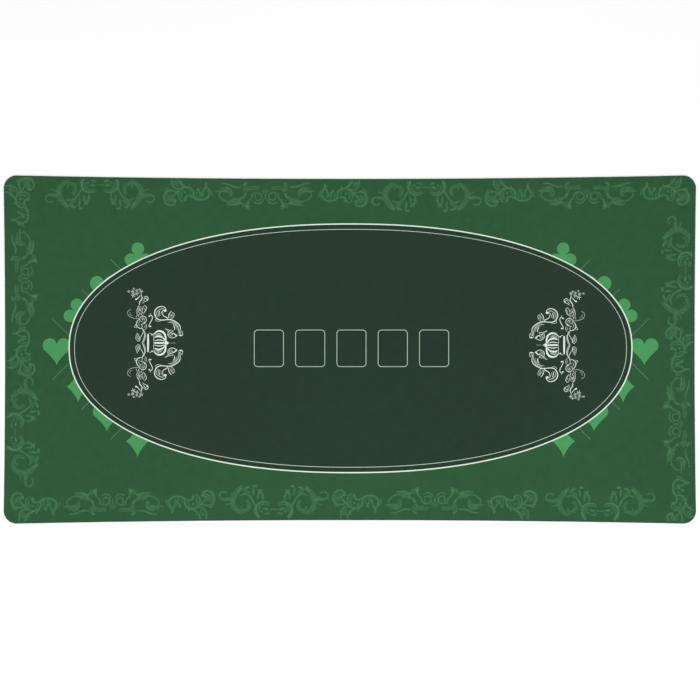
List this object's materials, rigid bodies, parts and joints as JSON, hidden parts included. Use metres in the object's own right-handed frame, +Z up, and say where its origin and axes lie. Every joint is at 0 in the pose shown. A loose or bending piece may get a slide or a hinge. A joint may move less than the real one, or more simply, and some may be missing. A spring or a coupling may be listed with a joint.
{
  "type": "poker table mat",
  "caption": "Roll-out poker table top: a thin rounded rectangle of foam rubber with a printed cloth face showing an oval betting line and card boxes.",
  "frame": {"origin": "middle of the underside", "axes": "+X along the length, +Y across the width, +Z up out of the playing surface"},
  "size_m": [1.8, 0.905, 0.003],
  "materials": {
    "foam_rubber": "matte black closed-cell foam, cut edge, woven texture pressed into the underside",
    "glue_film": "milky hot-melt film, hidden between the other two layers",
    "printed_cloth": "fine flat knit, dye-printed in greens and white, soft low sheen"
  },
  "bodies": {
    "root": {"rubber_base": "foam_rubber", "adhesive_film": "glue_film", "printed_cloth": "printed_cloth"}
  },
  "joints": []
}
